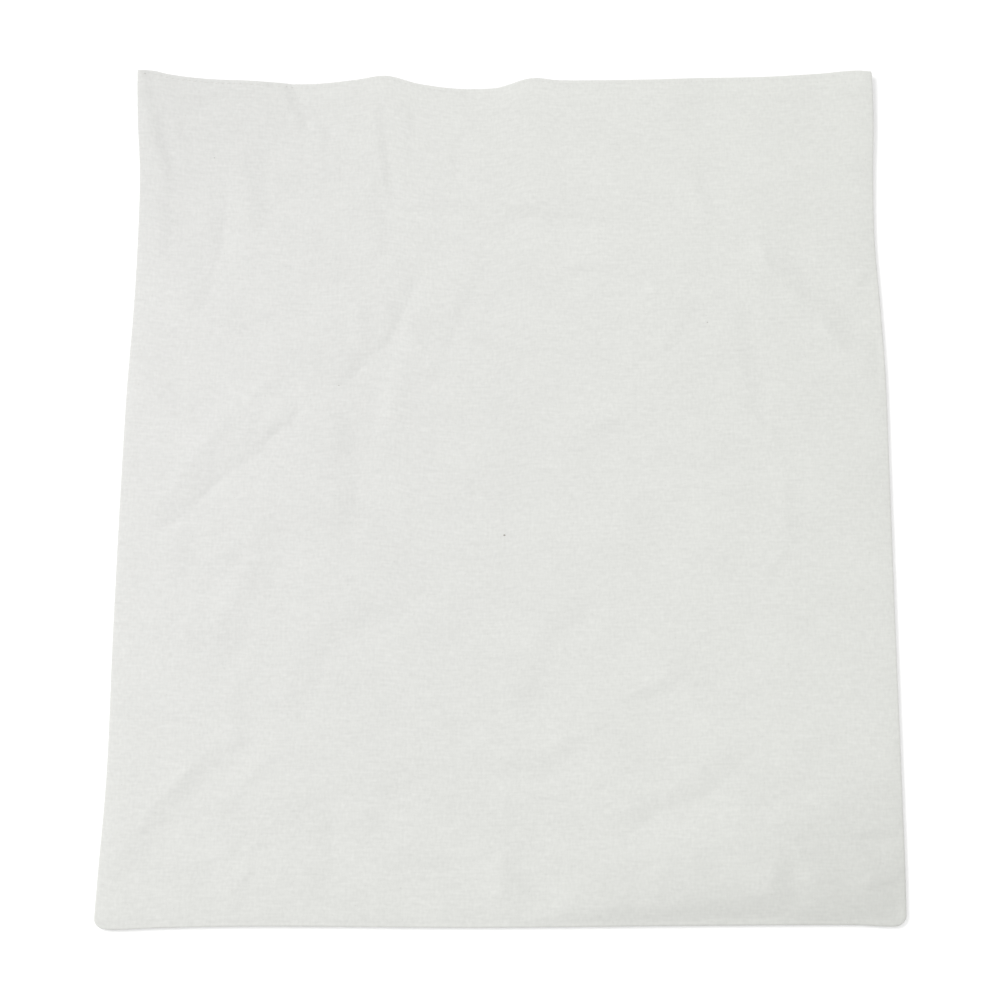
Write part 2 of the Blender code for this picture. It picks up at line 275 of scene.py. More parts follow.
# %% Broad shape
SEAM_TOP = 0.0033
MIDDLE_TOP = 0.0089
RAMP = 0.140
EDGE_ROLL = 0.0006
MOUTH_ROLL = 0.0005
ROLL_WIDTH = 0.0050
MOUTH_REACH = 0.110
HEM_STEP = 0.0003
HEM_STEP_WIDTH = 0.0050
GROOVE = 0.00012
GROOVE_FROM_EDGE = 0.0018
GROOVE_WIDTH = 0.0007
Swell = namedtuple("Swell", "name x y rise radius")
SWELLS = (
    Swell("lower right hollow", 0.130, -0.150, -0.0008, 0.080),
    Swell("left middle swell", -0.065, -0.030, 0.0005, 0.070),
    Swell("right upper swell", 0.100, 0.120, 0.0006, 0.060),
    Swell("upper left hollow", -0.165, 0.190, -0.0005, 0.045),
)


def cushioned_height(x, y, edges):
    """The cloth's upper face without its creases."""
    from_left, from_right, from_bottom, from_mouth = edges
    from_side = np.minimum(from_left, from_right)
    from_seam = np.minimum(from_side, from_bottom)
    side_rise = 1 - (1 - np.clip(from_side / RAMP, 0, 1)) ** 2
    bottom_rise = 1 - (1 - np.clip(from_bottom / RAMP, 0, 1)) ** 2
    near_mouth = 1 - smooth_step(from_mouth / MOUTH_REACH)
    middle = MIDDLE_TOP
    for swell in SWELLS:
        middle = middle + swell.rise * np.exp(-((x - swell.x) ** 2 + (y - swell.y) ** 2) / swell.radius**2)
    body = SEAM_TOP + (middle - SEAM_TOP) * side_rise * bottom_rise
    mouth = curve_through(MOUTH, "x", "top", x)
    top = body + (mouth - body) * near_mouth
    top += HEM_STEP * (1 - smooth_step((from_mouth - HEM) / HEM_STEP_WIDTH + 0.5))
    top -= GROOVE * np.exp(-(((from_bottom - GROOVE_FROM_EDGE) / GROOVE_WIDTH) ** 2))
    seam_roll = EDGE_ROLL * np.exp(-from_seam / ROLL_WIDTH)
    return top - np.maximum(seam_roll, MOUTH_ROLL * np.exp(-from_mouth / ROLL_WIDTH))


print("the front cloth rises from", round(1000 * SEAM_TOP, 2), "to", 1000 * MIDDLE_TOP, "mm")

# %% [markdown]
# ## Creases
#
# Stored cloth keeps the lines on which it was folded. Along such a line the cloth steps down over an even
# slope, from a low ridge to a shallow valley, and it flattens out at both ends. Under light from the upper
# left the slopes that fall away from it show dark, so each one was placed by its dark band. All sizes are in
# millimetres, and the width is half the slope's. The line is drawn upwards or to the right, and its left
# hand is the high one, or the low one where the drop is negative. The lean says where the cloth is folded
# sharply: 1 at the foot, -1 at the brow.

# %% Main creases
MM = 0.001
Crease = namedtuple("Crease", "name drop width lean points")
MAIN_CREASES = (
    Crease("corner crease", 0.9, 3.8, 1, ((-196, 152), (-198, 178), (-202, 203), (-208, 228), (-236, 305))),
    Crease("corner hollow", 0.5, 8, 0, ((-187, 150), (-191, 200), (-196, 246))),
    Crease("upper left band", 0.75, 6, 1, ((-181, 88), (-175, 119), (-168, 148), (-165, 184))),
    Crease("upper left second band", 0.6, 5.5, -1, ((-142, 140), (-145, 174), (-147, 212))),
    Crease("left wave, lower end", 0.45, 4.5, 0.3, ((-68, 126), (-72, 149), (-79, 174))),
    Crease("upper diagonal", 0.6, 5, 1, ((-99, 42), (-84, 69), (-69, 82), (-58, 104), (-49, 134))),
    Crease("branch of the upper diagonal", 0.6, 4, -1, ((-75, 76), (-79, 91), (-80, 105))),
    Crease("broad leg", 0.8, 7, 0.3, ((-91, -44), (-88, 2), (-95, 47))),
    Crease("left diagonal, high side", 0.5, 5, -1, ((-184, -8), (-163, 19), (-140, 43), (-120, 64))),
    Crease("left diagonal, low side", 1.2, 7, 1, ((-203, -38), (-182, -13), (-158, 7), (-122, 37))),
    Crease("left of the middle", 0.3, 3.5, 0, ((-52, 39), (-39, 61), (-26, 95), (-13, 127), (-13, 151))),
    Crease("right diagonal", 1.8, 8, -0.6, ((206, 66), (194, 95), (170, 119), (149, 153))),
    Crease("right upright", 0.8, 5.5, 0, ((152, 35), (143, 57), (140, 80), (138, 107))),
    Crease("small right", 0.45, 4.5, -0.5, ((93, 68), (108, 94))),
    Crease("left middle", 0.85, 8.5, 0, ((-156, -113), (-148, -87), (-138, -61), (-127, -17))),
    Crease("left middle, lower end", 0.65, 5, 0, ((-146, -164), (-143, -108))),
    Crease("lower left diagonal", 1, 5, -1, ((-216, -230), (-192, -198), (-171, -171), (-141, -146))),
    Crease("low arc", 0.75, 8, 0, ((-117, -152), (-111, -121), (-101, -97), (-72, -77), (-36, -62))),
    Crease("low middle left", 0.5, 6.5, 0, ((-71, -206), (-65, -180), (-49, -162))),
    Crease("low upright", 0.7, 6, 0.4, ((-101, -238), (-97, -187))),
    Crease("low spot", 1.4, 8, 0, ((9, -250), (7, -207))),
    Crease("middle low", 0.9, 5.5, -0.3, ((-4, -167), (28, -162), (46, -145))),
    Crease("middle fall", 0.7, 6.5, 0, ((4, -140), (14, -120), (22, -102), (36, -82), (64, -70))),
    Crease("lower right diagonal", 0.75, 6.5, 0.8,
           ((46, -212), (66, -197), (84, -183), (108, -175), (139, -149))),
    Crease("middle right", 0.6, 9, 0.5, ((80, -64), (78, -2))),
    Crease("above the bottom seam, middle", 1.4, 6, 0, ((24, -247), (100, -245))),
    Crease("above the bottom seam, right", 2.6, 8, 0, ((86, -245), (130, -241), (166, -241))),
    Crease("lower right corner", 1.7, 9, 0, ((154, -244), (190, -243), (220, -231))),
)
print(len(MAIN_CREASES), "main creases")

# %% Fine creases
FINE_CREASES = (
    Crease("bright side of the upper diagonal", -0.45, 5, 0, ((-76, -6), (-67, 38), (-57, 82), (-43, 130))),
    Crease("hem step by the corner", 0.3, 2.2, 0, ((-194, 233), (-140, 234))),
    Crease("short crease", 1, 3, 1, ((-115, 207), (-121, 223), (-133, 246))),
    Crease("short crease, branch", 0.7, 2.6, 0.5, ((-98, 199), (-108, 211), (-119, 225))),
    Crease("left wave, upright", 0.5, 2.8, 0.5, ((-67, 164), (-69, 190), (-72, 214), (-79, 240))),
    Crease("first upright below the mouth", 0.2, 2.4, 0, ((-51, 178), (-54, 200), (-57, 228))),
    Crease("second upright below the mouth", 0.25, 2.6, 0, ((-31, 168), (-28, 194), (-22, 219))),
    Crease("left diagonal, end", 1, 4, 1, ((-136, 20), (-124, 36), (-116, 46))),
    Crease("left allowance", 0.6, 3.2, 0, ((-200, 127), (-197, 150), (-201, 174))),
    Crease("lower left faint", 0.25, 6, 0, ((-188, -66), (-181, -45), (-172, -25))),
    Crease("left middle spot", 0.7, 4, 0, ((-154, -56), (-149, -36))),
    Crease("lower left second", 0.3, 3.2, -0.7, ((-157, -194), (-140, -176), (-118, -150))),
    Crease("lower left third", 0.3, 3.2, 0, ((-140, -220), (-127, -201), (-93, -178))),
    Crease("lower left fourth", 0.5, 3, 0, ((-171, -220), (-156, -215), (-142, -207))),
    Crease("low upright, left", 0.5, 3.5, 0.3, ((-146, -247), (-137, -216))),
    Crease("level low", 0.5, 3.5, 0, ((-68, -214), (-34, -216), (6, -212))),
    Crease("right diagonal, high end", 0.5, 4.5, 0, ((149, 143), (124, 160), (112, 188))),
    Crease("right upright, foot", 0.5, 2.4, 0, ((161, 15), (152, 30), (134, 47))),
    Crease("level upper left", 0.3, 2.4, 0, ((-64, 159), (-40, 162), (-7, 166))),
    Crease("level upper right", 0.8, 4, 0.6, ((-5, 156), (28, 160), (62, 150))),
    Crease("level below it", 0.7, 3, 0, ((29, 123), (59, 123), (80, 117), (91, 103))),
    Crease("level right", 0.9, 5.5, 0, ((76, 10), (102, 9), (135, 6))),
    Crease("level middle", 0.7, 3.5, 0, ((48, 28), (68, 30), (84, 21))),
    Crease("level low right", 0.6, 3.5, 0, ((65, -128), (106, -115))),
    Crease("corner level", 1.2, 2.8, 0.7, ((188, -203), (232, -197))),
    Crease("corner level, low", 0.8, 2.4, 0.7, ((194, -229), (232, -224))),
    Crease("corner upright", 0.85, 5.5, -0.5, ((154, -247), (153, -208))),
    Crease("corner second", 0.6, 2.4, 0, ((195, -229), (169, -214), (159, -197))),
    Crease("right edge bulge", 0.5, 3.5, 0, ((203, 109), (216, 125))),
    Crease("right edge hollow", 0.9, 7, 0, ((211, 50), (214, 94))),
    Crease("small right, low", 0.45, 2.2, 0, ((149, -61), (163, -41))),
    Crease("right faint", 0.45, 4.5, -0.8, ((166, -43), (165, 7))),
    Crease("bright lower right", -0.7, 10, 0, ((68, -223), (98, -204), (142, -191), (192, -179))),
)
print(len(FINE_CREASES), "fine creases")

# %% Shape of a crease
LINE_STEPS = 5  # straight pieces from one point of a line to the next
CREASE_END = 0.26  # share of a crease over which it fades in, and out again
TAPER = 0.65  # share of its width that it loses towards its ends
FOLD_SOFTNESS = 0.50  # how round its foot and brow are, in half-widths
LEAN_SHARPNESS = 0.8  # share of that roundness that goes from one to the other at a lean of 1
FLANK = 1.15  # how slowly ridge and valley die away, in half-widths


def smooth_line(points):
    """A smooth line (a Catmull-Rom curve) through the points, as the corners of short straight pieces."""
    points = np.array(points, float)
    before, after = 2 * points[0] - points[1], 2 * points[-1] - points[-2]
    padded = np.concatenate([[before], points, [after]])
    shares = np.arange(LINE_STEPS)[:, None] / LINE_STEPS
    pieces = []
    for a, b, c, d in zip(padded[:-3], padded[1:-2], padded[2:-1], padded[3:]):
        turn = (2 * a - 5 * b + 4 * c - d) * shares**2 + (3 * b - a - 3 * c + d) * shares**3
        pieces.append(b + (c - a) * shares / 2 + turn / 2)
    return np.concatenate([*pieces, points[-1:]])


def crease_reach(x, y, crease):
    """Half-widths that a place lies to the line's left, and how full the crease is there."""
    points = MM * smooth_line(crease.points)
    nearest = np.full(x.shape, np.inf)
    side = np.zeros(x.shape)
    share = np.zeros(x.shape)
    lengths = np.hypot(*np.diff(points, axis=0).T)
    run = np.concatenate([[0.0], np.cumsum(lengths)]) / lengths.sum()
    for start, end, run_start, run_end in zip(points[:-1], points[1:], run[:-1], run[1:]):
        way = end - start
        t = np.clip(((x - start[0]) * way[0] + (y - start[1]) * way[1]) / (way @ way), 0, 1)
        off_x, off_y = x - start[0] - t * way[0], y - start[1] - t * way[1]
        apart = np.hypot(off_x, off_y)
        closer = apart < nearest
        nearest = np.where(closer, apart, nearest)
        side = np.where(closer, np.sign(way[0] * off_y - way[1] * off_x), side)
        share = np.where(closer, run_start + t * (run_end - run_start), share)
    ends = smooth_step(share / CREASE_END) * smooth_step((1 - share) / CREASE_END)
    return side * nearest / (MM * crease.width * (1 - TAPER * (1 - ends))), ends


def crease_height(x, y, crease):
    """What one crease adds: a ridge on the line's left hand, a valley on its right, a slope between."""
    reach, ends = crease_reach(x, y, crease)
    foot = FOLD_SOFTNESS * (1 - LEAN_SHARPNESS * crease.lean)
    brow = FOLD_SOFTNESS * (1 + LEAN_SHARPNESS * crease.lean)
    valley = np.exp(-np.hypot(reach + 1, foot) / FLANK)
    ridge = np.exp(-np.hypot(reach - 1, brow) / FLANK)
    return MM * crease.drop * ends * (ridge - valley)


widest = max(MAIN_CREASES, key=lambda crease: crease.width)
print("widest main crease:", widest.name + ",", widest.width, "mm to each side")

# %% [markdown]
# ## Rumples
#
# Between the creases the cloth is never smooth. Each patch of it is rumpled in its own direction: upright
# below the mouth, level above the bottom seam. Smooth noise, drawn out along one direction and kept to its
# patch, gives that without placing every wrinkle by hand. Such noise also makes the creases wander and swell
# a little along their lines, because cloth never folds along a ruled one.

# %% Rumples
Rumple = namedtuple("Rumple", "name x y reach_x reach_y turned length spacing rise")  # turned in degrees
RUMPLES = (
    Rumple("below the mouth, left", -0.120, 0.195, 0.100, 0.070, 100, 0.026, 0.0050, 0.00008),
    Rumple("left side", -0.160, 0.000, 0.070, 0.200, 75, 0.032, 0.0060, 0.00007),
    Rumple("across the middle", 0.060, 0.060, 0.140, 0.120, 4, 0.030, 0.0050, 0.00004),
    Rumple("above the bottom", 0.000, -0.190, 0.220, 0.080, 14, 0.028, 0.0060, 0.00012),
    Rumple("lower right corner", 0.170, -0.210, 0.070, 0.060, 8, 0.020, 0.0055, 0.00016),
    Rumple("everywhere", 0.000, 0.000, 0.900, 0.900, 30, 0.012, 0.0080, 0.00004),
)
FIRST_RUMPLE_LAYER = 0.5  # the height at which the noise is cut for the first of them
WANDER = 0.0010  # how far a crease strays from its line
WANDER_LENGTH = 0.018
WANDER_ACROSS_LAYER = 20.5
WANDER_ALONG_LAYER = 21.5
UNEVENNESS = 0.35  # how much more or less a crease steps down from place to place
UNEVENNESS_LAYER = 22.5


def smooth_noise(x, y, layer, length):
    """Noise between about -1 and 1, with swells of the given length."""
    return np.array([2 * noise.noise(Vector((a, b, layer))) for a, b in zip(x / length, y / length)])


def rumple_height(x, y, rumple):
    """Smooth noise, drawn out along one direction, that dies away outside its patch."""
    turned_by = radians(rumple.turned)
    off_x, off_y = x - rumple.x, y - rumple.y
    along = (off_x * cos(turned_by) + off_y * sin(turned_by)) / rumple.length
    across = (off_y * cos(turned_by) - off_x * sin(turned_by)) / rumple.spacing
    waves = smooth_noise(along, across, FIRST_RUMPLE_LAYER + RUMPLES.index(rumple), 1.0)
    inside = np.exp(-((off_x / rumple.reach_x) ** 2) - (off_y / rumple.reach_y) ** 2)
    return rumple.rise * waves * inside


print(len(RUMPLES), "rumpled patches")

# %% [markdown]
# ## Laying the cloth
#
# A panel starts as a flat grid from bmesh, with its lines close together at the edges, where the cloth
# turns, and even between them. Along the steep creases its squares are halved, so that a narrow fold stays
# narrow. Its points are then laid in place, the doubled corner squares are cut away, and the mitred edges
# are merged. Solidify gives the sheet its thickness afterwards, so the fold at every edge comes out round
# by itself.

# %% Cloth grid
FOLD_STEPS = 4
SEAM_LINES = (0.0006, 0.0012, 0.0018, 0.0024, 0.0032, 0.0046, 0.0066, 0.0090, 0.0112, 0.0138, 0.0166)
TURNED_LINES = 4
REFINE_REACH = 1.8  # half-widths to each side of a crease
REFINE_STEEPNESS = 0.075  # drop for each half-width
REFINE_FROM_EDGE = 0.018  # nearer to an edge the lines are close already
NO_LENGTH = 1e-9
MERGE_DISTANCE = 1e-6


def cut_lines(outer_length, turn_start, turn_end, spacing):
    """Places of the grid's lines on the cut piece, from one raw edge to the other."""
    fold = np.linspace(0, FOLD_LENGTH, FOLD_STEPS + 1)[1:]
    start = np.concatenate([FOLD_LENGTH + np.linspace(turn_start, 0, TURNED_LINES)[:-1], fold[::-1]])
    end = np.concatenate([fold, FOLD_LENGTH + np.linspace(0, turn_end, TURNED_LINES)[1:]])
    seam = np.array(SEAM_LINES)
    first, last = seam[-1], outer_length - seam[-1]
    middle = np.linspace(first, last, round((last - first) / spacing) + 1)[1:-1]
    return np.concatenate([-start, [0.0], seam, middle, outer_length - seam[::-1], [outer_length],
                           outer_length + end])


def refine_creases(bm, creases):
    """Halves the squares of the flat grid along the creases that are steep."""
    cut_x, cut_y = np.array([vert.co[:2] for vert in bm.verts]).T
    x, y, edges, depth = place_on_table(cut_x, cut_y)
    steep = np.zeros(len(x), bool)
    for crease in creases:
        reach, ends = crease_reach(x, y, crease)
        steep |= (abs(reach) < REFINE_REACH) & (ends * abs(crease.drop) / crease.width > REFINE_STEEPNESS)
    steep &= (depth == 0) & (np.min(edges, axis=0) > REFINE_FROM_EDGE)
    bm.verts.index_update()
    split = [edge for edge in bm.edges if all(steep[vert.index] for vert in edge.verts)]
    bmesh.ops.subdivide_edges(bm, edges=split, cuts=1, use_grid_fill=True, use_single_edge=True)
    print("the grid is finer on", round(100 * float(steep.mean())), "percent of the cloth")


def to_object(name, bm):
    """Puts a finished bmesh into the scene as an object."""
    mesh = bpy.data.meshes.new(name)
    bm.to_mesh(mesh)
    bm.free()
    piece = bpy.data.objects.new(name, mesh)
    bpy.context.scene.collection.objects.link(piece)
    return piece


def lay_cloth(name, spacing, outer_height, inward_way, creases=()):
    """Makes one panel: its outer layer at outer_height, and its turned edges inward_way of it."""
    across = cut_lines(OUTER_WIDTH, ALLOWANCE, ALLOWANCE, spacing)
    along = cut_lines(OUTER_LENGTH, ALLOWANCE, HEM, spacing)
    bm = bmesh.new()
    bmesh.ops.create_grid(bm, x_segments=len(across) - 1, y_segments=len(along) - 1, size=0.5)
    for vert in bm.verts:
        column = round((vert.co.x + 0.5) * (len(across) - 1))
        row = round((vert.co.y + 0.5) * (len(along) - 1))
        vert.co = (across[column], along[row], 0)
    refine_creases(bm, creases)
    cut_x, cut_y = np.array([vert.co[:2] for vert in bm.verts]).T

    cut_map = bm.loops.layers.uv.new("cut")
    bm.verts.index_update()
    for face in bm.faces:
        for loop in face.loops:
            loop[cut_map].uv = (cut_x[loop.vert.index], cut_y[loop.vert.index])

    x, y, edges, depth = place_on_table(cut_x, cut_y)
    z = outer_height(x, y, edges) + inward_way * depth
    for vert, *spot in zip(bm.verts, x, y, z):
        vert.co = spot

    outside_x = (cut_x < -NO_LENGTH) | (cut_x > OUTER_WIDTH + NO_LENGTH)
    outside_y = (cut_y < -NO_LENGTH) | (cut_y > OUTER_LENGTH + NO_LENGTH)
    doubled = outside_x & outside_y
    corner_faces = [face for face in bm.faces if any(doubled[vert.index] for vert in face.verts)]
    bmesh.ops.delete(bm, geom=corner_faces, context="FACES")
    bmesh.ops.remove_doubles(bm, verts=list(bm.verts), dist=MERGE_DISTANCE)
    if inward_way > 0:
        bmesh.ops.reverse_faces(bm, faces=list(bm.faces))
    cloth = to_object(name, bm)
    cloth.data.shade_smooth()
    thickness = cloth.modifiers.new("thickness", "SOLIDIFY")
    thickness.thickness = CLOTH
    thickness.offset = 0.0
    faces = cloth.data.polygons
    triangles = sum(2 * (len(face.vertices) - 2) for face in faces)
    print(name, len(faces), "faces, so", triangles, "triangles with its thickness")
    return cloth


print("beside each edge lie", len(SEAM_LINES), "close lines, up to", 1000 * SEAM_LINES[-1], "mm from it")

# %% Front cloth
FRONT_SPACING = 0.0028
SEAM_CLEAR = 0.005


def front_height(x, y, edges):
    """Height of the middle of the front cloth's outer layer."""
    from_left, from_right, from_bottom, from_mouth = edges
    from_seam = np.minimum(np.minimum(from_left, from_right), from_bottom)
    wander_x = x + WANDER * smooth_noise(x, y, WANDER_ACROSS_LAYER, WANDER_LENGTH)
    wander_y = y + WANDER * smooth_noise(x, y, WANDER_ALONG_LAYER, WANDER_LENGTH)
    relief = sum(crease_height(wander_x, wander_y, crease) for crease in MAIN_CREASES + FINE_CREASES)
    relief = relief * (1 + UNEVENNESS * smooth_noise(x, y, UNEVENNESS_LAYER, WANDER_LENGTH))
    relief = relief + sum(rumple_height(x, y, rumple) for rumple in RUMPLES)
    return cushioned_height(x, y, edges) + smooth_step(from_seam / SEAM_CLEAR) * relief - CLOTH / 2


front_cloth = lay_cloth("front_cloth", FRONT_SPACING, front_height, -1, MAIN_CREASES + FINE_CREASES)

# %% Back cloth
BACK_SPACING = 0.0060


def back_height(x, y, edges):
    """The back cloth's outer layer lies flat on the table, wherever the place."""
    return CLOTH / 2


back_cloth = lay_cloth("back_cloth", BACK_SPACING, back_height, 1)

# %% [markdown]
# ## The hem's stitches
#
# A lockstitch shows as short threads with a needle hole at each end. They run 2.4 mm below the mouth's
# edge, one every 3.4 mm, and lean a little, because the thread is twisted. Each is a ball of twenty faces,
# pressed long and flat. The row follows the mouth's wave, so that it stays at one distance. The stitches
# stand up only near the left corner: further on the thread is pulled tight and sinks into the cloth.

# %% Hem stitches
STITCH_PITCH = 0.0034
STITCH_LENGTH = 0.0023
STITCH_WIDTH = 0.0005
STITCH_HEIGHT = 0.4 * STITCH_WIDTH
STITCH_FROM_EDGE = 0.0024
FIRST_FROM_LEFT = 0.004
LAST_FROM_RIGHT = 0.003
STITCH_LEAN = radians(14)
STITCH_SUNK = 0.00006
TIGHT_FROM = -0.170
TIGHT_TO = -0.120


def edges_at(x, y):
    """Distances of a place on the table from the two side seams, the bottom and the mouth."""
    return (x - curve_through(SIDES, "y", "left", y), curve_through(SIDES, "y", "right", y) - x,
            y - curve_through(BOTTOM, "x", "y", x), curve_through(MOUTH, "x", "y", x) - y)


def sew_hem():
    """One mesh of all the stitches along the mouth."""
    x = np.arange(SIDES[-1].left + FIRST_FROM_LEFT, SIDES[-1].right - LAST_FROM_RIGHT, STITCH_PITCH)
    y = curve_through(MOUTH, "x", "y", x) - STITCH_FROM_EDGE
    run = np.arctan(np.gradient(y, x))
    sunk = STITCH_SUNK * smooth_step((x - TIGHT_FROM) / (TIGHT_TO - TIGHT_FROM))
    z = front_height(x, y, edges_at(x, y)) + CLOTH / 2 - sunk
    bm = bmesh.new()
    for spot_x, spot_y, spot_z, turn in zip(x, y, z, run):
        made = bmesh.ops.create_icosphere(bm, subdivisions=1, radius=0.5)["verts"]
        bmesh.ops.scale(bm, vec=(STITCH_LENGTH, STITCH_WIDTH, STITCH_HEIGHT), verts=made)
        bmesh.ops.rotate(bm, matrix=Matrix.Rotation(turn + STITCH_LEAN, 3, "Z"), verts=made)
        bmesh.ops.translate(bm, vec=(spot_x, spot_y, spot_z), verts=made)
    stitches = to_object("hem_stitches", bm)
    stitches.data.shade_smooth()
    print(len(x), "hem stitches")
    return stitches


hem_stitches = sew_hem()

# %% [markdown]
# ## Cotton
#
# The cloth is unbleached cotton in a plain weave: matt, nearly white, with threads that are never quite
# even. The threads are about half a millimetre apart, too fine for this picture, so they are drawn coarser
# than they are. Each direction of thread gets its own stretched noise, because a thick place in one thread
# runs along it. Longer, fainter streaks are the slubs, and cotton seed leaves a few dark flecks. A few wide,
# soft patches of painted shade darken the colour at the lower right, along the bottom and in the upper left
# corner, and one more soft tint makes the left side a little less yellow.

# %% Helpers for materials
def linear_colour(hex_text):
    """The linear colour of an sRGB hex value."""
    parts = [int(hex_text[i:i + 2], 16) / 255 for i in (1, 3, 5)]
    return [p / 12.92 if p <= 0.04045 else ((p + 0.055) / 1.055) ** 2.4 for p in parts] + [1.0]


def add_node(tree, kind, settings=(), *sources):
    """Adds a node with its settings; each source is an input's name or number and the socket for it."""
    node = tree.nodes.new(kind)
    for name, value in dict(settings).items():
        if hasattr(node, name):
            setattr(node, name, value)
        else:
            node.inputs[name].default_value = value
    for name, socket in sources:
        tree.links.new(socket, node.inputs[name])
    return node


def new_material(name, surface):
    """A material whose shader's own sockets have the values of surface."""
    material = bpy.data.materials.new(name)
    material.use_nodes = True
    shader = material.node_tree.nodes["Principled BSDF"]
    for socket, value in surface.items():
        shader.inputs[socket].default_value = value
    return material


print("the middle grey #808080 is", round(linear_colour("#808080")[0], 3), "as a linear tone")

# %% Weave
THREAD_DRAWN = 0.0014  # the real threads are 0.5 mm apart
Pattern = namedtuple("Pattern", "name length width detail weight")
PATTERNS = (
    Pattern("weft threads", 3.2 * THREAD_DRAWN, THREAD_DRAWN, 2.0, 0.10),
    Pattern("warp threads", THREAD_DRAWN, 2.4 * THREAD_DRAWN, 2.0, 0.12),
    Pattern("slubs", 0.014, 0.0016, 1.0, 0.06),
    Pattern("clouds", 0.034, 0.024, 5.0, 0.05),
)


def thread_tone(tree, cut):
    """How light the cloth is: about 1, and up to half its weight more or less for each pattern."""
    start = 1 - sum(pattern.weight for pattern in PATTERNS) / 2
    so_far = []
    for pattern in PATTERNS:
        scale = {"Scale": (1 / pattern.length, 1 / pattern.width, 1)}
        grid = add_node(tree, "ShaderNodeMapping", scale, ("Vector", cut))
        settings = {"noise_dimensions": "2D", "Scale": 1.0, "Detail": pattern.detail}
        swells = add_node(tree, "ShaderNodeTexNoise", settings, ("Vector", grid.outputs["Vector"]))
        source = (0, swells.outputs[0])
        tone = add_node(tree, "ShaderNodeMath", {"operation": "MULTIPLY_ADD"}, source, *so_far)
        tone.inputs[1].default_value = pattern.weight
        tone.inputs[2].default_value = start  # counts only in the first, where nothing is linked to it
        so_far = [(2, tone.outputs[0])]
    return tone.outputs[0]


print("threads are drawn", 1000 * THREAD_DRAWN, "mm apart, with", len(PATTERNS), "patterns in all")

# %% Cotton
COTTON_HEX = "#CBCCC8"
# Undyed cotton, matt from its loose fibres: it shows no highlight, only light and shade.
COTTON_SURFACE = {"Roughness": 0.9, "IOR": 1.5, "Specular IOR Level": 0.3}
# Sewing thread of twisted cotton: it is smoother than the cloth, so its ridges catch a little light.
THREAD_SURFACE = {"Base Color": linear_colour("#CAC9C5"), "Roughness": 0.8}
WEAVE_BUMP = {"Strength": 0.5, "Distance": 0.0006}
FLECK_HEX = "#6B6459"
Spot = namedtuple("Spot", "x y radius")
FLECKS = (Spot(0.0015, -0.0350, 0.0008), Spot(-0.0935, 0.0530, 0.0004), Spot(0.1190, 0.0910, 0.0004),
          Spot(-0.1700, 0.1940, 0.0004))
FLECK_STRENGTH = 0.75
FLECK_STRETCH = 1.5  # how many times wider than high a fleck is
FLECK_CORE = 0.6  # share of its radius inside which it is darkest
TINY_FLECK_CELL = 0.0200  # about the distance from one tiny fleck to the next
TINY_FLECK_RADIUS = 0.00032
TINY_FLECK_STRENGTH = 0.10
Shade = namedtuple("Shade", "name x y reach tint")
# Painted shade: the first, second and last darken the colour as shade would, at the lower right, along the
# bottom and in the upper left corner. The third only makes the left half less yellow.
PAINTED_SHADE_AND_TINT = (
    Shade("lower right corner, painted shade", 0.225, -0.295, 0.165, (0.830, 0.832, 0.826)),
    Shade("bottom edge right of the middle, painted shade", 0.090, -0.330, 0.135, (0.780, 0.781, 0.780)),
    Shade("left half, less yellow", -0.240, 0.050, 0.480, (0.999, 0.989, 1.010)),
    Shade("upper left corner, painted shade", -0.220, 0.255, 0.200, (0.952, 0.950, 0.955)),
)


def tinted(tree, place, colour, shade):
    """The colour, taken towards a tint around one place; a darker tint is painted shade."""
    apart = add_node(tree, "ShaderNodeVectorMath", {"operation": "DISTANCE"}, (0, place))
    apart.inputs[1].default_value = (shade.x, shade.y, 0)
    soft_edge = {"interpolation_type": "SMOOTHSTEP", "From Min": shade.reach, "From Max": 0}
    inside = add_node(tree, "ShaderNodeMapRange", soft_edge, ("Value", apart.outputs["Value"]))
    blend = add_node(tree, "ShaderNodeMix", {"data_type": "RGBA", "blend_type": "MULTIPLY"},
                     ("Factor", inside.outputs[0]))
    tree.links.new(colour, blend.inputs[6])
    blend.inputs[7].default_value = (*shade.tint, 1)
    return blend.outputs[2]


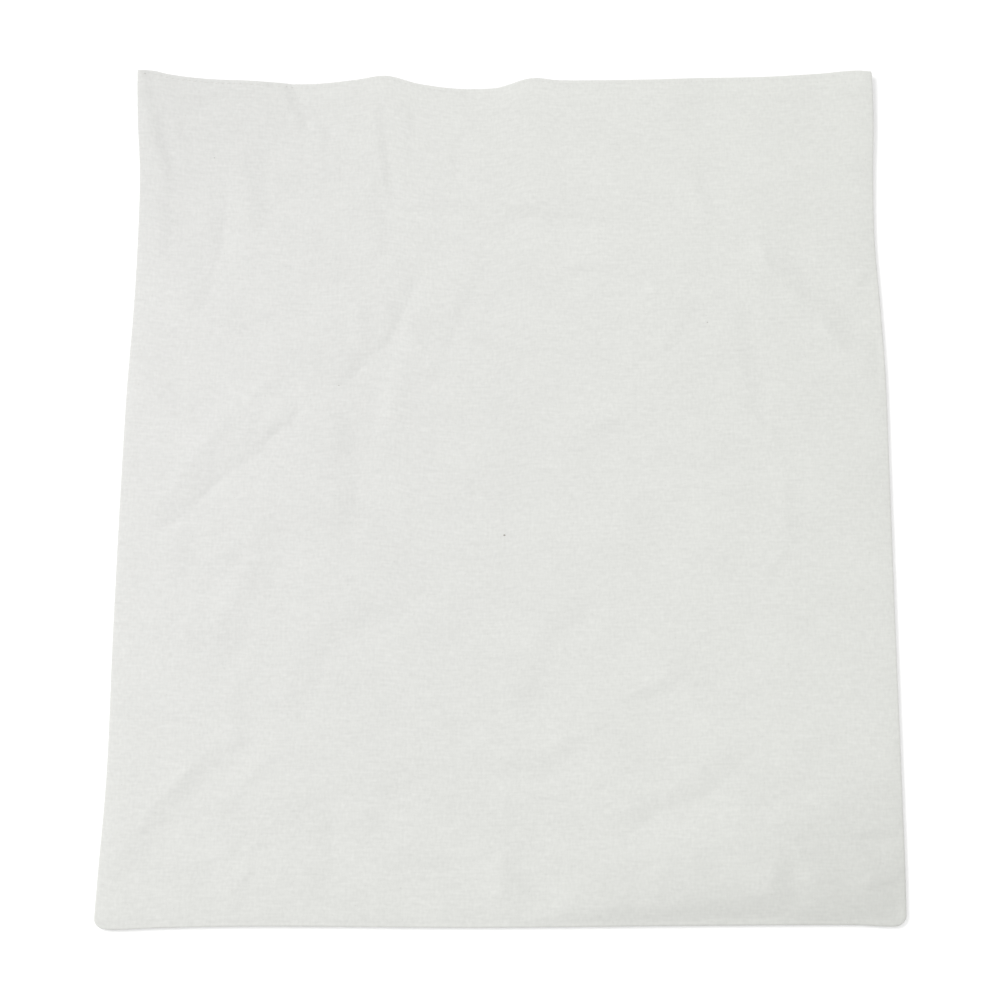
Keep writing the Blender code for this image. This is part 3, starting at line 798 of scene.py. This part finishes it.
def woven_cotton(name, hex_text, flecks=(), shades=()):
    """Cotton cloth: its colour, its threads, its painted shade and tint, and the flecks that lie over them.
    """
    material = new_material(name, COTTON_SURFACE)
    tree = material.node_tree
    shader = tree.nodes["Principled BSDF"]
    cut = add_node(tree, "ShaderNodeUVMap", {"uv_map": "cut"}).outputs["UV"]
    tone = thread_tone(tree, cut)
    base = add_node(tree, "ShaderNodeVectorMath", {"operation": "SCALE"}, ("Scale", tone))
    base.inputs[0].default_value = linear_colour(hex_text)[:3]
    colour = base.outputs[0]
    place = add_node(tree, "ShaderNodeTexCoord").outputs["Object"]
    for shade in shades:
        colour = tinted(tree, place, colour, shade)

    cells = add_node(tree, "ShaderNodeTexVoronoi", {"voronoi_dimensions": "2D", "Scale": 1 / TINY_FLECK_CELL},
                     ("Vector", cut))
    small = add_node(tree, "ShaderNodeMath", {"operation": "LESS_THAN"}, (0, cells.outputs["Distance"]))
    small.inputs[1].default_value = TINY_FLECK_RADIUS / TINY_FLECK_CELL
    marks = [(small.outputs[0], TINY_FLECK_STRENGTH)]
    for spot in flecks:
        flat = add_node(tree, "ShaderNodeVectorMath", {"operation": "MULTIPLY"}, (0, place))
        flat.inputs[1].default_value = (1, FLECK_STRETCH, 0)
        apart = add_node(tree, "ShaderNodeVectorMath", {"operation": "DISTANCE"}, (0, flat.outputs[0]))
        apart.inputs[1].default_value = (spot.x, FLECK_STRETCH * spot.y, 0)
        core = FLECK_CORE * spot.radius
        rim = {"interpolation_type": "SMOOTHSTEP", "From Min": spot.radius, "From Max": core}
        inside = add_node(tree, "ShaderNodeMapRange", rim, ("Value", apart.outputs["Value"]))
        marks.append((inside.outputs[0], FLECK_STRENGTH))
    for mark, strength in marks:
        share = add_node(tree, "ShaderNodeMath", {"operation": "MULTIPLY"}, (0, mark))
        share.inputs[1].default_value = strength
        blend = add_node(tree, "ShaderNodeMix", {"data_type": "RGBA"}, ("Factor", share.outputs[0]))
        tree.links.new(colour, blend.inputs[6])
        blend.inputs[7].default_value = linear_colour(FLECK_HEX)
        colour = blend.outputs[2]
    tree.links.new(colour, shader.inputs["Base Color"])
    bump = add_node(tree, "ShaderNodeBump", WEAVE_BUMP, ("Height", tone))
    tree.links.new(bump.outputs["Normal"], shader.inputs["Normal"])
    return material


front_cotton = woven_cotton("front_plain_weave_cotton", COTTON_HEX, FLECKS, PAINTED_SHADE_AND_TINT)
back_cotton = woven_cotton("back_plain_weave_cotton", COTTON_HEX)
sewing_thread = new_material("cotton_sewing_thread", THREAD_SURFACE)
front_cloth.data.materials.append(front_cotton)
back_cloth.data.materials.append(back_cotton)
hem_stitches.data.materials.append(sewing_thread)
print(len(FLECKS), "seed flecks,", len(PAINTED_SHADE_AND_TINT), "soft shades and a sprinkle of tiny flecks")

# %% [markdown]
# ## What the pieces stand for
#
# Each cloth replaces its solid, which is hidden, and hangs from the bag's root like the hem's stitches.

# %% Pieces and sheets
PANELS = ((front_cloth, "front_cotton", "front_panel"), (back_cloth, "back_cotton", "back_panel"))
for cloth, slot, node in PANELS:
    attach(cloth, "root")
    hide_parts(node)
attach(hem_stitches, "root")

# %% [markdown]
# ## Table and light
#
# The ground of the photograph is even white. The light is broad, so the bag's shadow hardly shows, but it
# has a side: the left edge is light and the right one dark. One large soft lamp high on the left gives the
# creases their relief, and white surroundings give the rest. A low lamp would make every crease too deep.

# %% Table and light
TABLE_SIDE = 6.0
# White board with a matt paint: it takes the light evenly and mirrors next to nothing.
BOARD_SURFACE = {"Base Color": linear_colour("#FBFBFB"), "Roughness": 0.9, "Specular IOR Level": 0.2}
LAMP_AZIMUTH = radians(152)
LAMP_FROM_VERTICAL = radians(50)
LAMP_DISTANCE = 8.5
LAMP_SIZE = 4.4
LAMP_WATTS = 362.0
ROOM_LIGHT = 0.985


def pale_table():
    """The even white ground that the bag lies on."""
    bm = bmesh.new()
    bmesh.ops.create_grid(bm, x_segments=1, y_segments=1, size=TABLE_SIDE / 2)
    table = to_object("table_top", bm)
    table.data.materials.append(new_material("matt_white_board", BOARD_SURFACE))


def soft_lamp(name, azimuth, from_vertical, distance, size, watts):
    """A round lamp that shines at the bag from so far round, down and away."""
    data = bpy.data.lights.new(name, "AREA")
    data.shape = "DISK"
    data.size = size
    data.energy = watts
    lamp = bpy.data.objects.new(name, data)
    lamp.location = distance * Vector((sin(from_vertical) * cos(azimuth), sin(from_vertical) * sin(azimuth),
                                       cos(from_vertical)))
    lamp.rotation_euler = (-lamp.location).to_track_quat("-Z", "Y").to_euler()
    bpy.context.scene.collection.objects.link(lamp)


pale_table()
soft_lamp("large_soft_lamp", LAMP_AZIMUTH, LAMP_FROM_VERTICAL, LAMP_DISTANCE, LAMP_SIZE, LAMP_WATTS)
world = bpy.data.worlds.new("white_room")
bpy.context.scene.world = world
world.use_nodes = True
surroundings = world.node_tree.nodes["Background"]
surroundings.inputs["Color"].default_value = (1, 1, 1, 1)
surroundings.inputs["Strength"].default_value = ROOM_LIGHT
bpy.context.scene.view_settings.view_transform = "Standard"
print("one lamp of", LAMP_WATTS, "watts,", LAMP_DISTANCE, "m away")
